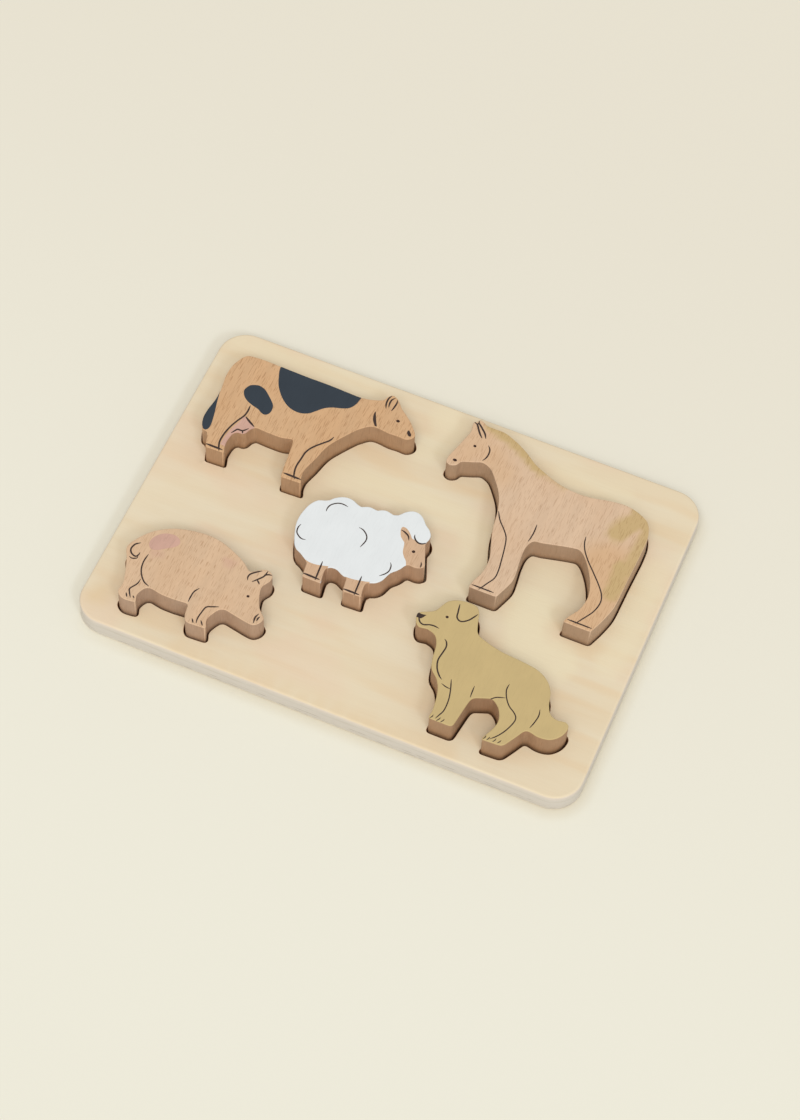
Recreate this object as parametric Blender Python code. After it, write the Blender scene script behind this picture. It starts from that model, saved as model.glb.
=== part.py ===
"""Wooden animal puzzle: a plywood board with five windows and five thick beech animals.

Run with: blender --background --python part.py
Metres, +Z up. The origin is on the floor under the middle of the board; +X runs along
the board's long side and +Y from the animals' feet towards their backs.
"""
import math

import bmesh
import bpy
import numpy as np

MM = 0.001

# Board: a backing glued under a thicker sheet that has one window for each animal.
BACKING_THICKNESS = 4.0 * MM
SHEET_THICKNESS = 9.0 * MM
GLUE_LINE = 0.3 * MM
BOARD_CORNER_RADIUS = 17.0 * MM
BOARD_EDGE_ROUND = 1.6 * MM

# Board left outside the windows, along its four sides.
RIM_LEFT = 14.6 * MM
RIM_RIGHT = 16.7 * MM
RIM_FRONT = 10.1 * MM
RIM_BACK = 10.0 * MM

# Animals: all sawn from one plank, each as long as given here from end to end along X.
ANIMAL_THICKNESS = 23.5 * MM
ANIMAL_EDGE_EASE = 0.6 * MM
COW_LENGTH = 116.2 * MM
HORSE_LENGTH = 124.1 * MM
SHEEP_LENGTH = 77.1 * MM
PIG_LENGTH = 88.7 * MM
DOG_LENGTH = 102.2 * MM

# Fit: play round an animal in its window, and under it on the backing.
WINDOW_CLEARANCE = 0.85 * MM
SEAT_CLEARANCE = 0.3 * MM

# Where each animal lies in its window: how much of the play it is shifted by, along X and Y.
COW_REST = (-0.2, -0.4)
HORSE_REST = (0.0, -0.2)
SHEEP_REST = (-0.5, 0.0)
PIG_REST = (0.0, 0.0)
DOG_REST = (-0.35, 0.4)

# Layout: the strips of board between neighbouring windows, and the steps between windows.
COW_HORSE_WEB = 21.5 * MM
COW_SHEEP_WEB = 13.4 * MM
SHEEP_PIG_WEB = 15.3 * MM
HORSE_DOG_WEB = 8.3 * MM
HORSE_BACK_STEP = 4.8 * MM
PIG_LEFT_STEP = 1.2 * MM
DOG_RIGHT_STEP = 3.0 * MM
SHEEP_INSET = 78.5 * MM

# How finely the curves are cut into straight pieces.
STEPS_PER_SPAN = 8
STEPS_PER_CORNER = 6
STEPS_PER_QUARTER = 10
BOARD_EDGE_STEPS = 3
ANIMAL_EDGE_STEPS = 1
CHORD_ERROR = 0.08 * MM

# How closely outlines are brought together, and how near two points count as one.
SLIDES = 400
CLOSE = 0.0001 * MM

# Outlines seen from above, in millimetres from the lower left of each animal. A curve
# runs through the points. A third number makes the point a corner, rounded over that
# distance along the outline to each side of it.
COW_OUTLINE = [
    (5.5, 68.5), (11.5, 70), (27, 70), (43, 69.5), (60.5, 69.5), (72, 69), (78.5, 69),
    (85, 70.5), (90.5, 73), (92, 76), (94, 78), (96.5, 77.5), (99.5, 75), (102.5, 71.5),
    (106.5, 68.5), (112, 63.5), (116.5, 57.5), (116, 55), (113, 52.7), (108, 52.8),
    (102.5, 52.5), (95, 53.3), (91, 52.7), (85.5, 48), (79.5, 39.5), (74, 30),
    (71, 18.5), (68.5, 9.5), (69, 4), (70.5, 0.5, 0.9), (58, 0, 0.9), (57, 6.5),
    (55, 23), (54, 26.5, 2), (48.5, 24.7), (38, 24.5), (31.2, 24.6), (28.8, 22.2),
    (27.6, 19.2), (25.9, 17.8), (23.2, 17.6), (21.2, 15.8), (20.3, 12), (20.3, 7),
    (22, 1.5, 0.9), (10.6, 1, 0.9), (8.5, 7.5), (7, 11, 1), (4, 11.5), (2.5, 14), (1, 19),
    (1, 25.5), (2, 32.5), (2, 40.5), (0.5, 51), (1.2, 60),
]
HORSE_OUTLINE = [
    (5, 105), (6.3, 105.3), (7.5, 107.5), (10.3, 106.8), (12.7, 105.4), (24, 105),
    (32, 102), (39.5, 98), (48, 92), (55.5, 88.5), (64.5, 85.2), (74.5, 83.5),
    (84.5, 83.7), (95, 86), (105.5, 87), (114, 85), (120.3, 81.2), (123.5, 74.3),
    (124.3, 65), (123.9, 53), (123.5, 42), (123.3, 31), (122.7, 20.5), (120.2, 11),
    (116.5, 1, 1.6), (100, 1, 0.9), (101.5, 5), (105.5, 12), (107, 20.5),
    (105.5, 28.5), (101, 38), (95, 46), (91.5, 48.3), (87.5, 48), (71, 44), (66, 43),
    (63.7, 38.5), (63.5, 31), (64.7, 21), (65, 14), (63, 7.5), (60.5, 0.5, 1.6),
    (44, 0.5, 0.9), (45, 5.5), (47.5, 13), (47.5, 23), (42.5, 39), (39.5, 55.5),
    (36, 65), (30.5, 73), (25.5, 78.5), (20, 80.5), (14.5, 78.5), (8.5, 76),
    (6.8, 73), (3.5, 71.5), (0.5, 73), (0.5, 77), (3, 86.5), (4.5, 92.5), (5.7, 98),
    (5, 102),
]
SHEEP_OUTLINE = [
    (0, 35), (0.4, 39.5), (2.2, 46), (5.3, 50.2), (9.2, 51.8), (11.3, 53, 0.8),
    (13, 55.2), (16.5, 57.6), (20.1, 58.6), (24, 58), (27, 56.6), (29.2, 56, 0.8),
    (31.2, 57.1), (33.7, 57.9), (36, 57.8), (38.4, 57.4, 0.8), (40.8, 58.9), (43, 59.5),
    (45.6, 59.1), (47.7, 58.5, 0.8), (50.3, 59.5), (52.7, 62.4), (55.5, 64.7),
    (58.4, 65.6), (62, 64.8), (65, 62.2), (66.9, 59.9, 0.8), (70, 57.6), (72, 54.8),
    (72.4, 52), (71.4, 48.5, 1), (74.4, 41.2), (77.2, 34, 1.2), (74.6, 31.9),
    (71.4, 31.3), (68.3, 31.4), (66.5, 30.1), (65.4, 27.8), (63.6, 25.3),
    (61.2, 22.8, 0.8), (60.3, 20.4), (58.8, 16.2), (56.1, 13.2), (53.6, 12.1),
    (51.3, 11, 1), (51.5, 6.5), (52.5, 1.5, 0.8), (41.5, 1, 0.8), (41, 4),
    (40.3, 9.9, 1), (38.2, 10.2), (35.7, 11.2), (33.6, 12.4, 0.8), (31.4, 12.6),
    (29.2, 12.1), (27.6, 10.7), (27.4, 7.5), (28.5, 0.5, 0.8), (17.5, 0.5, 0.8),
    (17, 3), (16.2, 9.8, 1), (12.6, 12.6), (9.8, 14.4, 0.8), (7.4, 15.5), (5.2, 17.8),
    (3.2, 22), (1.4, 26.8), (0.3, 31),
]
PIG_OUTLINE = [
    (3, 25.5), (0.2, 31.5), (2.5, 38), (7, 44.5), (12.5, 49.5), (21, 54), (37, 57),
    (47, 56), (55.5, 53), (63.5, 49), (69, 44.5, 1.5), (77.5, 49.7), (81.5, 47.7),
    (82, 44), (79, 38.5, 2), (80.5, 32.5), (83.5, 26), (86.5, 22.7), (88.5, 20.8),
    (88.5, 18.5), (87.3, 16), (85, 14.2), (82.5, 14), (74, 15.5), (67.5, 16.7),
    (65, 17, 3), (62.5, 13), (60.5, 7), (62.5, 1.5, 2), (50.5, 0.8, 2), (48.5, 4),
    (47, 12, 1.5), (38, 11.3), (30, 11.5), (22.5, 13, 3), (20.5, 10.5), (18.8, 5.5),
    (20.5, 1, 2), (11.5, 0, 3.5), (8.2, 4), (8.5, 9), (6.8, 15.5),
]
DOG_OUTLINE = [
    (0.5, 58.5), (1.7, 60), (8.5, 64), (13, 72.5), (18, 75.5), (25, 76.5),
    (29, 75.7), (31.5, 72.5), (33.5, 65.5), (36, 60), (42, 57.2), (52.5, 54.7),
    (63.5, 53.7), (74.5, 52), (81.5, 48), (85.5, 42.5), (88, 34), (90.5, 29.5),
    (94.5, 27, 3), (100, 28), (102.2, 26.5), (102.3, 23), (100, 18), (96, 14.7),
    (89.5, 13.7), (82, 15.5, 3.5), (77.5, 6.5), (74, 0.5, 2.5), (62, 0, 1.5),
    (64, 5), (66, 10), (66.3, 15), (63.5, 21.3), (58.5, 25.7, 2.5), (48, 21.5, 3),
    (46.7, 13.5), (45, 0.5, 2.5), (31, 0.5, 1.5), (31.5, 5), (31, 10), (29, 19),
    (26, 24.5), (21, 29.5), (19, 36), (17.5, 44.5), (14.7, 49.5), (9.5, 51.5),
    (4.5, 51), (2, 53),
]

BIRCH_COLOUR = (0.78, 0.66, 0.47, 1.0)
BEECH_COLOUR = (0.67, 0.44, 0.27, 1.0)


def clear_scene():
    """Remove whatever objects the scene holds."""
    for thing in list(bpy.data.objects):
        bpy.data.objects.remove(thing, do_unlink=True)


def wood(name, colour, roughness):
    """Return a bare wood material of one colour."""
    material = bpy.data.materials.new(name)
    material.use_nodes = True
    shader = material.node_tree.nodes["Principled BSDF"]
    shader.inputs["Base Color"].default_value = colour
    shader.inputs["Roughness"].default_value = roughness
    shader.inputs["Metallic"].default_value = 0.0
    return material


def lerp(start, end, at, t0, t1):
    """Blend start into end as at runs from t0 to t1."""
    share = (at - t0) / (t1 - t0)
    return start + (end - start) * share


def span(before, start, end, after):
    """Return points on the curve from start up to end, shaped by its two neighbours."""
    stops = [0.0]
    for p, q in ((before, start), (start, end), (end, after)):
        stops.append(stops[-1] + math.sqrt(np.linalg.norm(q - p)))
    t0, t1, t2, t3 = stops
    points = []
    for step in range(STEPS_PER_SPAN):
        t = t1 + (t2 - t1) * step / STEPS_PER_SPAN
        a1 = lerp(before, start, t, t0, t1)
        a2 = lerp(start, end, t, t1, t2)
        a3 = lerp(end, after, t, t2, t3)
        b1 = lerp(a1, a2, t, t0, t2)
        b2 = lerp(a2, a3, t, t1, t3)
        points.append(lerp(b1, b2, t, t1, t2))
    return points


def walk(points, start, reach, way):
    """Go reach along the closed outline from a point; return the end and the points passed."""
    passed = []
    here = points[start]
    index = start
    while True:
        index = (index + way) % len(points)
        step = np.linalg.norm(points[index] - here)
        if step >= reach:
            return here + (points[index] - here) * reach / step, passed
        passed.append(index)
        reach -= step
        here = points[index]


def rounded(points, corners):
    """Replace each corner of a closed outline by a short curve."""
    curves = {}
    dropped = set()
    for index, reach in corners.items():
        start, behind = walk(points, index, reach, -1)
        end, ahead = walk(points, index, reach, 1)
        dropped.update(behind + ahead)
        shares = np.linspace(0.0, 1.0, STEPS_PER_CORNER + 1)[:, None]
        curves[index] = ((1 - shares) ** 2 * start + 2 * shares * (1 - shares) * points[index]
                         + shares ** 2 * end)
    result = []
    for index, point in enumerate(points):
        if index in curves:
            result.extend(curves[index])
        elif index not in dropped:
            result.append(point)
    return np.array(result)


def thinned(points):
    """Drop the points of a closed outline that lie on a nearly straight run."""
    keep = {0, len(points) // 2}
    runs = [(0, len(points) // 2), (len(points) // 2, len(points))]
    while runs:
        first, last = runs.pop()
        a = points[first]
        b = points[last % len(points)]
        between = np.arange(first + 1, last)
        if not len(between):
            continue
        along = (b - a) / max(np.linalg.norm(b - a), 1e-12)
        away = points[between] - a
        off = np.abs(away[:, 0] * along[1] - away[:, 1] * along[0])
        worst = int(off.argmax())
        if off[worst] > CHORD_ERROR:
            middle = int(between[worst])
            keep.add(middle)
            runs += [(first, middle), (middle, last)]
    return points[sorted(keep)]


def animal_outline(drawing, length):
    """Return an animal's outline in metres, scaled to its length, with its middle at the origin."""
    drawn = [np.array(entry[:2], dtype=float) for entry in drawing]
    reaches = [entry[2] if len(entry) > 2 else 0.0 for entry in drawing]
    count = len(drawn)
    points = []
    corners = {}
    for i in range(count):
        start, end = drawn[i], drawn[(i + 1) % count]
        before, after = drawn[i - 1], drawn[(i + 2) % count]
        if reaches[i]:
            before = 2 * start - end
            corners[len(points)] = reaches[i]
        if reaches[(i + 1) % count]:
            after = 2 * end - start
        points.extend(span(before, start, end, after))
    outline = rounded(np.array(points), corners)
    low, high = outline.min(axis=0), outline.max(axis=0)
    outline = (outline - (low + high) / 2) * length / (high[0] - low[0])
    return anticlockwise(thinned(outline))


def anticlockwise(outline):
    """Return the outline running anticlockwise seen from above."""
    x, y = outline[:, 0], outline[:, 1]
    area = np.sum(x * np.roll(y, -1) - np.roll(x, -1) * y)
    return outline if area > 0 else outline[::-1]


def distances(points, outline):
    """Return how far each point lies from a closed outline."""
    start = outline
    run = np.roll(outline, -1, axis=0) - start
    square = np.maximum((run ** 2).sum(axis=1), 1e-18)
    away = points[:, None, :] - start
    share = np.clip((away * run).sum(axis=2) / square, 0.0, 1.0)
    return np.linalg.norm(away - share[..., None] * run, axis=2).min(axis=1)


def gap_between(one, other):
    """Return the least distance between two closed outlines."""
    return min(distances(one, other).min(), distances(other, one).min())


def offset(outline, distance):
    """Return the outline moved outwards by distance, point for point, without loops."""
    ahead = np.roll(outline, -1, axis=0) - outline
    ahead /= np.linalg.norm(ahead, axis=1)[:, None]
    behind = np.roll(ahead, 1, axis=0)
    normal_ahead = np.stack([ahead[:, 1], -ahead[:, 0]], axis=1)
    normal_behind = np.stack([behind[:, 1], -behind[:, 0]], axis=1)
    middle = normal_ahead + normal_behind
    middle /= np.linalg.norm(middle, axis=1)[:, None]
    stretch = 1.0 / np.maximum((middle * normal_ahead).sum(axis=1), 0.5)
    moved = outline + middle * (distance * stretch)[:, None]
    clear = distances(moved, outline) > abs(distance) - CLOSE
    first = int(np.flatnonzero(clear)[0])
    last = moved[first]
    for step in range(len(moved)):
        index = (first + step) % len(moved)
        if clear[index]:
            last = moved[index]
        else:
            moved[index] = last
    return moved


def distinct(outline):
    """Return the outline without repeated points."""
    steps = np.linalg.norm(outline - np.roll(outline, 1, axis=0), axis=1)
    return outline[steps > CLOSE]


def slid(outline, others, way, web):
    """Slide an outline along way, from far off, until web of board is left between windows."""
    way = np.array(way, dtype=float)
    reach = sum(np.ptp(shape, axis=0).sum() for shape in others + [outline])
    wanted = web + 2 * WINDOW_CLEARANCE
    outline = outline - way * reach
    for _ in range(SLIDES):
        spare = min(gap_between(outline, other) for other in others) - wanted
        if spare < CLOSE:
            break
        outline = outline + way * spare
    return outline


def placed(outline, left=None, right=None, back=None):
    """Move an outline so that the given extremes lie where asked."""
    low, high = outline.min(axis=0), outline.max(axis=0)
    move = np.zeros(2)
    if left is not None:
        move[0] = left - low[0]
    if right is not None:
        move[0] = right - high[0]
    if back is not None:
        move[1] = back - high[1]
    return outline + move


def layout():
    """Return the outlines in the middle of their windows, and the board's length and width."""
    cow = placed(animal_outline(COW_OUTLINE, COW_LENGTH), left=0.0, back=0.0)
    horse = placed(animal_outline(HORSE_OUTLINE, HORSE_LENGTH), back=HORSE_BACK_STEP)
    horse = slid(horse, [cow], (-1, 0), COW_HORSE_WEB)
    sheep = placed(animal_outline(SHEEP_OUTLINE, SHEEP_LENGTH), left=SHEEP_INSET)
    sheep = slid(sheep, [cow, horse], (0, 1), COW_SHEEP_WEB)
    pig = placed(animal_outline(PIG_OUTLINE, PIG_LENGTH), left=-PIG_LEFT_STEP)
    pig = slid(pig, [cow, sheep], (0, 1), SHEEP_PIG_WEB)
    dog_right = horse[:, 0].max() + DOG_RIGHT_STEP
    dog = placed(animal_outline(DOG_OUTLINE, DOG_LENGTH), right=dog_right)
    dog = slid(dog, [horse, sheep], (0, 1), HORSE_DOG_WEB)
    shapes = {"cow": cow, "horse": horse, "sheep": sheep, "pig": pig, "dog": dog}
    everything = np.concatenate(list(shapes.values()))
    low = everything.min(axis=0) - (RIM_LEFT + WINDOW_CLEARANCE, RIM_FRONT + WINDOW_CLEARANCE)
    high = everything.max(axis=0) + (RIM_RIGHT + WINDOW_CLEARANCE, RIM_BACK + WINDOW_CLEARANCE)
    middle = (low + high) / 2
    return {name: shape - middle for name, shape in shapes.items()}, high - low


def board_outline(size):
    """Return the board's outline: a rectangle with round corners."""
    reach = size / 2 - BOARD_CORNER_RADIUS
    points = []
    for quarter, (sx, sy) in enumerate(((1, 1), (-1, 1), (-1, -1), (1, -1))):
        for step in range(STEPS_PER_QUARTER + 1):
            angle = (quarter + step / STEPS_PER_QUARTER) * math.pi / 2
            points.append((sx * reach[0] + BOARD_CORNER_RADIUS * math.cos(angle),
                           sy * reach[1] + BOARD_CORNER_RADIUS * math.sin(angle)))
    return np.array(points)


def solid(name, rings, material):
    """Build a closed solid from stacked outlines of (points, height), the lowest first."""
    shape = bmesh.new()
    rows = []
    for points, height in rings:
        rows.append([shape.verts.new((x, y, height)) for x, y in points])
    shape.faces.new(list(reversed(rows[0])))
    shape.faces.new(rows[-1])
    for lower, upper in zip(rows, rows[1:]):
        for i in range(len(lower)):
            j = (i + 1) % len(lower)
            shape.faces.new((lower[i], lower[j], upper[j], upper[i]))
    bmesh.ops.remove_doubles(shape, verts=shape.verts, dist=CLOSE)
    mesh = bpy.data.meshes.new(name)
    shape.to_mesh(mesh)
    shape.free()
    mesh.materials.append(material)
    mesh.shade_smooth()
    mesh.set_sharp_from_angle(angle=math.radians(35))
    thing = bpy.data.objects.new(name, mesh)
    bpy.context.scene.collection.objects.link(thing)
    return thing


def round_rings(outline, bottom, top, round_bottom, round_top, steps):
    """Return rings of a slab whose lower and upper edges are rounded."""
    rings = []
    if round_bottom:
        for step in range(steps):
            angle = math.pi / 2 * step / steps
            rings.append((offset(outline, -round_bottom * (1 - math.sin(angle))),
                          bottom + round_bottom * (1 - math.cos(angle))))
    rings.append((outline, bottom + round_bottom))
    rings.append((outline, top - round_top))
    if round_top:
        for step in range(steps):
            angle = math.pi / 2 * (step + 1) / steps
            rings.append((offset(outline, -round_top * (1 - math.cos(angle))),
                          top - round_top * (1 - math.sin(angle))))
    return rings


def add_backing(outline, material):
    """Add the plain lower ply, its lower edge rounded."""
    rounding = min(BOARD_EDGE_ROUND, BACKING_THICKNESS / 2)
    rings = round_rings(outline, 0.0, BACKING_THICKNESS, rounding, 0.0, BOARD_EDGE_STEPS)
    return solid("board_backing", rings, material)


def add_sheet(outline, shapes, material, backing):
    """Add the upper sheet, its upper edge rounded, with a window cut for every animal."""
    bottom = BACKING_THICKNESS + GLUE_LINE
    top = bottom + SHEET_THICKNESS
    rounding = min(BOARD_EDGE_ROUND, SHEET_THICKNESS / 2)
    rings = round_rings(outline, bottom, top, 0.0, rounding, BOARD_EDGE_STEPS)
    sheet = solid("board_sheet", rings, material)
    sheet.parent = backing
    for name, shape in shapes.items():
        window = distinct(offset(shape, WINDOW_CLEARANCE))
        cutter_rings = [(window, bottom - SHEET_THICKNESS / 2), (window, top + SHEET_THICKNESS / 2)]
        cutter = solid(name + "_window_cutter", cutter_rings, material)
        cutter.hide_render = True
        cutter.display_type = "WIRE"
        cut = sheet.modifiers.new(name + "_window", "BOOLEAN")
        cut.operation = "DIFFERENCE"
        cut.object = cutter
        cut.solver = "EXACT"
    return sheet


def add_animal(name, shape, material, backing):
    """Add one animal, its origin on the line it is lifted along."""
    middle = (shape.min(axis=0) + shape.max(axis=0)) / 2
    ease = min(ANIMAL_EDGE_EASE, ANIMAL_THICKNESS / 4)
    rings = round_rings(shape - middle, 0.0, ANIMAL_THICKNESS, ease, ease, ANIMAL_EDGE_STEPS)
    animal = solid(name, rings, material)
    animal.parent = backing
    animal.location = (middle[0], middle[1], BACKING_THICKNESS + SEAT_CLEARANCE)
    return animal


def build():
    """Build the whole puzzle."""
    clear_scene()
    birch = wood("birch_ply", BIRCH_COLOUR, 0.6)
    beech = wood("beech", BEECH_COLOUR, 0.5)
    shapes, size = layout()
    outline = board_outline(size)
    backing = add_backing(outline, birch)
    add_sheet(outline, shapes, birch, backing)
    rests = {"cow": COW_REST, "horse": HORSE_REST, "sheep": SHEEP_REST, "pig": PIG_REST,
             "dog": DOG_REST}
    for name, shape in shapes.items():
        shift = np.array(rests[name]) * WINDOW_CLEARANCE
        add_animal(name, shape + shift, beech, backing)


build()
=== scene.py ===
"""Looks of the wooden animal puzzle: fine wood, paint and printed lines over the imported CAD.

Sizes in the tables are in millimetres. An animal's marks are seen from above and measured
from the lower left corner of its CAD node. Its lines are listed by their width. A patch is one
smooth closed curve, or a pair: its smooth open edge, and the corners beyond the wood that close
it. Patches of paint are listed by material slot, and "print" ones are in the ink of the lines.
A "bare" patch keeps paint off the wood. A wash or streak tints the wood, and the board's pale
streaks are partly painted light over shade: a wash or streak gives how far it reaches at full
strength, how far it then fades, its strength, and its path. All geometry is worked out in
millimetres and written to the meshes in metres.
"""
import math

import bpy
import numpy as np
from mathutils import Matrix, Vector
from mathutils.geometry import delaunay_2d_cdt


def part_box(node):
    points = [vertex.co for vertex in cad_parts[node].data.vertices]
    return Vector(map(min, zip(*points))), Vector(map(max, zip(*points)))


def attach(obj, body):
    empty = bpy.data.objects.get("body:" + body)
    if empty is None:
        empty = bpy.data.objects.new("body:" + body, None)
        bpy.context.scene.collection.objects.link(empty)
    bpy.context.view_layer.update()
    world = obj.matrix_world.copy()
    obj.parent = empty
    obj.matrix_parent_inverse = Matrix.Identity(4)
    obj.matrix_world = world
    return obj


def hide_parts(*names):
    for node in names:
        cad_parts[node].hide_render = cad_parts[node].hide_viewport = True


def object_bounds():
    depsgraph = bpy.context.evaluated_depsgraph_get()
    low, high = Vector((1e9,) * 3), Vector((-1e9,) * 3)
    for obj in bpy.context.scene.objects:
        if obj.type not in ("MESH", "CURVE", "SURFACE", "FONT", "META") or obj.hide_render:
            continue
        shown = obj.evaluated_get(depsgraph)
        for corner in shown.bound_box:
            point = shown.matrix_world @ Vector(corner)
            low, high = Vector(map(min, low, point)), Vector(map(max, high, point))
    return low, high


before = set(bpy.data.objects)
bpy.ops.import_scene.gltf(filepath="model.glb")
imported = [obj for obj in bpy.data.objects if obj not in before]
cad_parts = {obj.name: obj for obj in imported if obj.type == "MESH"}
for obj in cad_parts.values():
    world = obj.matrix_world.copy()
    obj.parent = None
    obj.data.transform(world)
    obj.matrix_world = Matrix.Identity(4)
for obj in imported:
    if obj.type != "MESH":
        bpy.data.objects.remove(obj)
cad_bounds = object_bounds()
MM = 0.001

# Camera: where it stands, what its axis meets, how far it is rolled, its lens and its sensor,
# and the nearest and farthest that it sees, in metres.
CAMERA_PLACE = (297.2, -816.4, 1395.6)
CAMERA_TARGET = (7.66, -10.04, 27.8)
CAMERA_ROLL = 3.81
CAMERA_LENS = 93.08
CAMERA_SENSOR = 36.0
CAMERA_CLIP = (0.05, 100.0)

# Light: an even pale sky, a small lamp at the right that draws the short shadows at the
# left, and a wide soft one over the camera. A lamp's bearing is measured from the front.
SKY_STRENGTH = 0.6
SKY_COLOUR = (255, 252, 246)
LAMPS = {
    "key": {"strength": 0.5, "angle": 11.0, "height": 42.5, "bearing": 49.0,
            "colour": (228, 241, 255)},
    "fill": {"strength": 1.2, "angle": 34.0, "height": 58.0, "bearing": 12.0,
             "colour": (255, 252, 246)},
}

# Floor: its colours in front and at the back, and how far back the one starts to turn into the
# other and how far back it has. Close by the board's front and right sides it is a little darker
# and warmer: painted shade with a painted warm reflection from the board, which fades between two
# lines that run slantwise past the board's middle.
FLOOR_REACH = 20000.0
FLOOR_NEAR_COLOUR = (237, 235, 222)
FLOOR_FAR_COLOUR = (231, 226, 212)
FLOOR_TURN = (-300.0, 400.0)
FLOOR_PAINTED_SHADE_COLOUR = (226, 220, 203)
FLOOR_PAINTED_SHADE_REACH = 9.0
FLOOR_LIT_SIDES = (60.0, -20.0)
CORNER_RADIUS = 17.0

# Shapes: the radii of the rounded edges, the steps of a rounding and where its last points lie,
# as a share of its radius, how far apart points are along an outline and inside it, and the
# angle from which an edge is sharp.
ANIMAL_ROUND = 0.5
BOARD_ROUND = 1.6
RIM_ROUND = 0.35
ROUND_STEPS = 5
ROUND_PAST = 1.15
OUTLINE_STEP = 0.9
GRID_STEP = 3.0
SHARP_ANGLE = 50.0

# How often an outline is smoothed, how far that may move a chord's middle and how many points
# an outline keeps at least, half a paint film's thickness, how near two heights count as one,
# the share of its reach that a point moved inwards has to keep, how many points are measured at
# a time, how many an eye's outline has, and how the triangles are asked for: only those inside
# the faces, with closer points merged.
SMOOTH_ROUNDS = 2
BULGE_LIMIT = 0.09
FEWEST_POINTS = 8
FILM = 0.05
NEAR = 0.02
CLEAR_SHARE = 0.98
BATCH = 500
OVAL_POINTS = 16
INSIDE_FACES = 1
SAME_POINT = 1e-5

# Browning by the cutter, which along the windows' rims on the board's top is also painted shade
# that darkens the gaps round the animals: how far it spreads from a window over the board's top,
# and how much.
RIM_SCORCH_AND_SHADE = 0.28
RIM_SCORCH_AND_SHADE_SHARE = 0.85

# Printed lines: how short one is drawn thinner, the share of its width left at a tip, how long
# a tip's taper is, and how many steps a curve makes between two of its points.
SHORT_LINE = 2.0
TIP_SHARE = 0.3
TAPER = 3.5
CURVE_STEPS = 6

# Depth of the bump in wood and in paint, and a fleck's share of it.
WOOD_BUMP = 0.03
PAINT_BUMP = 0.022
FLECK_DEPTH = 0.6

# Sockets of a node that mixes colours: the share and the two colours, and the result.
MIX_INPUTS = (0, 6, 7)
MIX_RESULT = 2

# Beech: how its clouds change its colour, what its flecks and the painted shade on its lower walls
# multiply it by, the heights at which that painted shade of the walls is full and gone, and its
# share.
CLOUD_CHANGE = (0, -8, -14)
FLECK_TINT = (214, 200, 188)
LOW_WALL_SHADE_TINT = (232, 224, 208)
LOW_WALL_SHADE_HEIGHTS = (12.0, 18.0)
LOW_WALL_SHADE_SHARE = 0.8

# Birch ply: the tones of its top veneer, the plies on its edge and the heights at which each
# begins and is full, its glue lines with the distances from them at which they end and are full,
# what the cutter browned, which on the windows' rims is also painted shade for the gaps, and the
# painted shade on the windows' floors and the underside with the heights at which it begins and
# is full.
VENEER = (229, 212, 182)
VENEER_PALE = (232, 219, 193)
VENEER_WARM = (228, 202, 164)
VENEER_PEACH = (231, 207, 180)
VENEER_CLOUD = (231, 214, 184)
VENEER_FIBRE = (208, 186, 150)
LOWEST_PLY = (221, 215, 206)
MIDDLE_PLY = (213, 206, 197)
TOP_PLY = (219, 207, 194)
DARK_PLY = (196, 186, 170)
MIDDLE_PLY_HEIGHTS = (1.2, 3.0)
TOP_PLY_HEIGHTS = (10.0, 12.5)
DARK_PLY_BOTTOM = (7.6, 8.4)
DARK_PLY_TOP = (10.0, 9.2)
GLUE = (150, 141, 128)
GLUE_LINES = (2.1, 4.15)
GLUE_REACHES = (0.4, 0.1)
BURNT_LIGHT = (164, 102, 56)
BURNT_DARK = (130, 80, 42)
PIT_SHADE_TINT = (240, 234, 224)
PIT_SHADE_HEIGHTS = (6.0, 5.0)

# Soft streaks in the board's top veneer, measured from the board's middle. The pale ones are
# partly a paler veneer and partly painted light that lifts the shade in front of and between
# the animals; the honey ones are a warmer veneer.
STREAK_AND_LIGHT_COLOURS = {"pale": (236, 224, 193), "honey": (227, 203, 166)}
BOARD_STREAKS_AND_LIGHT = {
    "pale": [
        (4.0, 9.0, 0.6, [(-50.0, 37.0), (-20.0, 40.0), (10.0, 40.0), (38.0, 36.0)]),
        (7.0, 10.0, 0.65, [(40.0, 30.0), (48.0, 8.0), (50.0, -12.0), (36.0, -28.0)]),
        (8.0, 10.0, 0.9, [(84.0, 0.0), (86.0, -14.0), (92.0, -28.0), (108.0, -26.0)]),
        (6.0, 8.0, 0.4, [(86.0, 24.0), (90.0, 6.0)]),
        (4.0, 8.0, 0.6, [(139.0, 50.0), (140.0, 30.0), (139.0, 0.0), (136.0, -16.0)]),
        (3.0, 7.0, 0.4, [(-140.0, 99.0), (-90.0, 101.0), (-55.0, 99.0)]),
        (5.0, 8.0, 0.6, [(-8.0, 98.0), (-2.0, 84.0), (-12.0, 74.0)]),
        (3.0, 7.0, 0.5, [(66.0, 92.0), (84.0, 90.0), (104.0, 91.0)]),
    ],
    "honey": [
        (2.0, 8.0, 0.55, [(-85.0, -104.0), (-30.0, -104.0), (30.0, -104.0), (75.0, -104.0)]),
        (2.0, 8.0, 0.8, [(-141.0, -92.0), (-138.0, -88.0)]),
    ],
}

# Brush washes on the animals, and what each printed mark becomes: the end of its piece's name,
# its material slot and its paint.
WASH_COLOURS = {"warm": (212, 172, 130), "olive": (199, 171, 122), "pink": (205, 162, 144)}
FINISHES = {
    "eye": ("eyes", "slate_paint", "eye"),
    "line": ("lines", "slate_paint", "line"),
    "print": ("prints", "slate_paint", "line"),
}

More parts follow.
